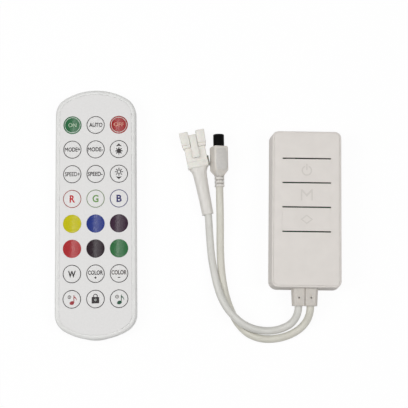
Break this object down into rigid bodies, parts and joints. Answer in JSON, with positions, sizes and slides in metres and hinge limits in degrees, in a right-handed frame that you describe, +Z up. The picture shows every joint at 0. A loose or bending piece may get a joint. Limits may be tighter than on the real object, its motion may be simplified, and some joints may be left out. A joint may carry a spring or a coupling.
{
  "type": "led strip controller",
  "caption": "Small flat controller box with three bar keys and two short cords, ending in a strip connector and a barrel socket, with its slim remote of round keys.",
  "frame": {"origin": "centre of the controller box's underside, on the table", "axes": "+Z up, +Y along the box away from its cords, +X across the box away from the remote"},
  "size_m": [0.1497, 0.1305, 0.0134],
  "materials": {
    "cover_plastic": "moulded, finely textured off-white ABS",
    "grip_plastic": "moulded soft PVC, grained",
    "board_laminate": "glass-fibre board under green solder mask",
    "switch_plastic": "moulded black nylon",
    "chip_resin": "moulded black epoxy",
    "plated_steel": "drawn, nickel plated",
    "capacitor_sleeve": "shrunk PVC sleeve over an aluminium can",
    "lead_insulation": "extruded PVC",
    "strip_cord_jacket": "extruded satin PVC",
    "power_cord_jacket": "extruded satin PVC",
    "shrink_tube": "shrunk polyolefin tube",
    "connector_nylon": "moulded natural nylon",
    "tinned_brass": "stamped and tinned",
    "barrel_plastic": "moulded black nylon",
    "remote_shell": "moulded white ABS",
    "remote_film": "printed polyester film with a fine grain",
    "spring_steel": "stamped spring steel",
    "cell_steel": "drawn stainless steel",
    "key_white": "embossed film, white",
    "key_green": "embossed film, printed green",
    "key_red": "embossed film, printed red",
    "key_yellow": "embossed film, printed yellow",
    "key_blue": "embossed film, printed blue",
    "key_purple": "embossed film, printed dark violet",
    "key_dark_plum": "embossed film, printed near-black plum"
  },
  "bodies": {
    "controller": {"top_cover": "cover_plastic", "bottom_cover": "cover_plastic", "circuit_board": "board_laminate", "switch_bodies": "switch_plastic", "processor_chip": "chip_resin", "voltage_regulator": "chip_resin", "crystal_can": "plated_steel", "storage_capacitor": "capacitor_sleeve", "microphone_capsule": "plated_steel", "cord_grip": "grip_plastic", "lead_wires": "lead_insulation", "strip_cord": "strip_cord_jacket", "shrink_sleeve": "shrink_tube", "strip_connector": "connector_nylon", "contact_pins": "tinned_brass", "power_cord": "power_cord_jacket", "jack_body": "grip_plastic", "jack_barrel": "barrel_plastic", "jack_centre_pin": "tinned_brass", "jack_spring": "tinned_brass"},
    "power_button": {"power_key": "cover_plastic", "power_switch_stem": "switch_plastic"},
    "mode_button": {"mode_key": "cover_plastic", "mode_switch_stem": "switch_plastic"},
    "pattern_button": {"pattern_key": "cover_plastic", "pattern_switch_stem": "switch_plastic"},
    "latch": {"latch_lever": "connector_nylon"},
    "remote": {"remote_top_case": "remote_shell", "remote_bottom_case": "remote_shell", "face_film": "remote_film", "remote_card": "board_laminate", "remote_chip": "chip_resin", "snap_domes": "spring_steel", "battery_contacts": "spring_steel"},
    "battery_drawer": {"battery_tray": "remote_shell", "coin_cell": "cell_steel"},
    "button_on": {"key_on": "key_green"},
    "button_auto": {"key_auto": "key_white"},
    "button_off": {"key_off": "key_red"},
    "button_mode_up": {"key_mode_up": "key_white"},
    "button_mode_down": {"key_mode_down": "key_white"},
    "button_brighter": {"key_brighter": "key_white"},
    "button_speed_up": {"key_speed_up": "key_white"},
    "button_speed_down": {"key_speed_down": "key_white"},
    "button_dimmer": {"key_dimmer": "key_white"},
    "button_red": {"key_red": "key_white"},
    "button_green": {"key_green": "key_white"},
    "button_blue": {"key_blue": "key_white"},
    "button_yellow": {"key_yellow": "key_yellow"},
    "button_azure": {"key_azure": "key_blue"},
    "button_violet": {"key_violet": "key_purple"},
    "button_crimson": {"key_crimson": "key_red"},
    "button_plum": {"key_plum": "key_dark_plum"},
    "button_emerald": {"key_emerald": "key_green"},
    "button_white": {"key_white": "key_white"},
    "button_colour_up": {"key_colour_up": "key_white"},
    "button_colour_down": {"key_colour_down": "key_white"},
    "button_sound_one": {"key_sound_one": "key_white"},
    "button_lock": {"key_lock": "key_white"},
    "button_sound_two": {"key_sound_two": "key_white"}
  },
  "joints": [
    {"name": "power_press", "type": "slide", "parent": "controller", "child": "power_button", "axis": [0, 0, -1], "range_m": [0, 0.00035], "stiffness_N_per_m": 2000, "springref_m": -0.0002},
    {"name": "mode_press", "type": "slide", "parent": "controller", "child": "mode_button", "axis": [0, 0, -1], "range_m": [0, 0.00035], "stiffness_N_per_m": 2000, "springref_m": -0.0002},
    {"name": "pattern_press", "type": "slide", "parent": "controller", "child": "pattern_button", "axis": [0, 0, -1], "range_m": [0, 0.00035], "stiffness_N_per_m": 2000, "springref_m": -0.0002},
    {"name": "latch_rock", "type": "hinge", "parent": "controller", "child": "latch", "pos_m": [-0.05783, 0.03177, 0.00645], "axis": [0.9774, 0.2113, 0], "range_deg": [0, 5], "stiffness_Nm_per_rad": 0.25},
    {"name": "remote_lift", "type": "slide", "parent": "controller", "child": "remote", "axis": [0, 0, 1], "range_m": [0, 0.06]},
    {"name": "tray_pull", "type": "slide", "parent": "remote", "child": "battery_drawer", "axis": [0.0262, -0.9997, 0], "range_m": [0, 0.028]},
    {"name": "on_press", "type": "slide", "parent": "remote", "child": "button_on", "axis": [0, 0, -1], "range_m": [0, 0.0003], "stiffness_N_per_m": 2000, "springref_m": -0.0002},
    {"name": "auto_press", "type": "slide", "parent": "remote", "child": "button_auto", "axis": [0, 0, -1], "range_m": [0, 0.0003], "stiffness_N_per_m": 2000, "springref_m": -0.0002},
    {"name": "off_press", "type": "slide", "parent": "remote", "child": "button_off", "axis": [0, 0, -1], "range_m": [0, 0.0003], "stiffness_N_per_m": 2000, "springref_m": -0.0002},
    {"name": "mode_up_press", "type": "slide", "parent": "remote", "child": "button_mode_up", "axis": [0, 0, -1], "range_m": [0, 0.0003], "stiffness_N_per_m": 2000, "springref_m": -0.0002},
    {"name": "mode_down_press", "type": "slide", "parent": "remote", "child": "button_mode_down", "axis": [0, 0, -1], "range_m": [0, 0.0003], "stiffness_N_per_m": 2000, "springref_m": -0.0002},
    {"name": "brighter_press", "type": "slide", "parent": "remote", "child": "button_brighter", "axis": [0, 0, -1], "range_m": [0, 0.0003], "stiffness_N_per_m": 2000, "springref_m": -0.0002},
    {"name": "speed_up_press", "type": "slide", "parent": "remote", "child": "button_speed_up", "axis": [0, 0, -1], "range_m": [0, 0.0003], "stiffness_N_per_m": 2000, "springref_m": -0.0002},
    {"name": "speed_down_press", "type": "slide", "parent": "remote", "child": "button_speed_down", "axis": [0, 0, -1], "range_m": [0, 0.0003], "stiffness_N_per_m": 2000, "springref_m": -0.0002},
    {"name": "dimmer_press", "type": "slide", "parent": "remote", "child": "button_dimmer", "axis": [0, 0, -1], "range_m": [0, 0.0003], "stiffness_N_per_m": 2000, "springref_m": -0.0002},
    {"name": "red_press", "type": "slide", "parent": "remote", "child": "button_red", "axis": [0, 0, -1], "range_m": [0, 0.0003], "stiffness_N_per_m": 2000, "springref_m": -0.0002},
    {"name": "green_press", "type": "slide", "parent": "remote", "child": "button_green", "axis": [0, 0, -1], "range_m": [0, 0.0003], "stiffness_N_per_m": 2000, "springref_m": -0.0002},
    {"name": "blue_press", "type": "slide", "parent": "remote", "child": "button_blue", "axis": [0, 0, -1], "range_m": [0, 0.0003], "stiffness_N_per_m": 2000, "springref_m": -0.0002},
    {"name": "yellow_press", "type": "slide", "parent": "remote", "child": "button_yellow", "axis": [0, 0, -1], "range_m": [0, 0.0003], "stiffness_N_per_m": 2000, "springref_m": -0.0002},
    {"name": "azure_press", "type": "slide", "parent": "remote", "child": "button_azure", "axis": [0, 0, -1], "range_m": [0, 0.0003], "stiffness_N_per_m": 2000, "springref_m": -0.0002},
    {"name": "violet_press", "type": "slide", "parent": "remote", "child": "button_violet", "axis": [0, 0, -1], "range_m": [0, 0.0003], "stiffness_N_per_m": 2000, "springref_m": -0.0002},
    {"name": "crimson_press", "type": "slide", "parent": "remote", "child": "button_crimson", "axis": [0, 0, -1], "range_m": [0, 0.0003], "stiffness_N_per_m": 2000, "springref_m": -0.0002},
    {"name": "plum_press", "type": "slide", "parent": "remote", "child": "button_plum", "axis": [0, 0, -1], "range_m": [0, 0.0003], "stiffness_N_per_m": 2000, "springref_m": -0.0002},
    {"name": "emerald_press", "type": "slide", "parent": "remote", "child": "button_emerald", "axis": [0, 0, -1], "range_m": [0, 0.0003], "stiffness_N_per_m": 2000, "springref_m": -0.0002},
    {"name": "white_press", "type": "slide", "parent": "remote", "child": "button_white", "axis": [0, 0, -1], "range_m": [0, 0.0003], "stiffness_N_per_m": 2000, "springref_m": -0.0002},
    {"name": "colour_up_press", "type": "slide", "parent": "remote", "child": "button_colour_up", "axis": [0, 0, -1], "range_m": [0, 0.0003], "stiffness_N_per_m": 2000, "springref_m": -0.0002},
    {"name": "colour_down_press", "type": "slide", "parent": "remote", "child": "button_colour_down", "axis": [0, 0, -1], "range_m": [0, 0.0003], "stiffness_N_per_m": 2000, "springref_m": -0.0002},
    {"name": "sound_one_press", "type": "slide", "parent": "remote", "child": "button_sound_one", "axis": [0, 0, -1], "range_m": [0, 0.0003], "stiffness_N_per_m": 2000, "springref_m": -0.0002},
    {"name": "lock_press", "type": "slide", "parent": "remote", "child": "button_lock", "axis": [0, 0, -1], "range_m": [0, 0.0003], "stiffness_N_per_m": 2000, "springref_m": -0.0002},
    {"name": "sound_two_press", "type": "slide", "parent": "remote", "child": "button_sound_two", "axis": [0, 0, -1], "range_m": [0, 0.0003], "stiffness_N_per_m": 2000, "springref_m": -0.0002}
  ]
}
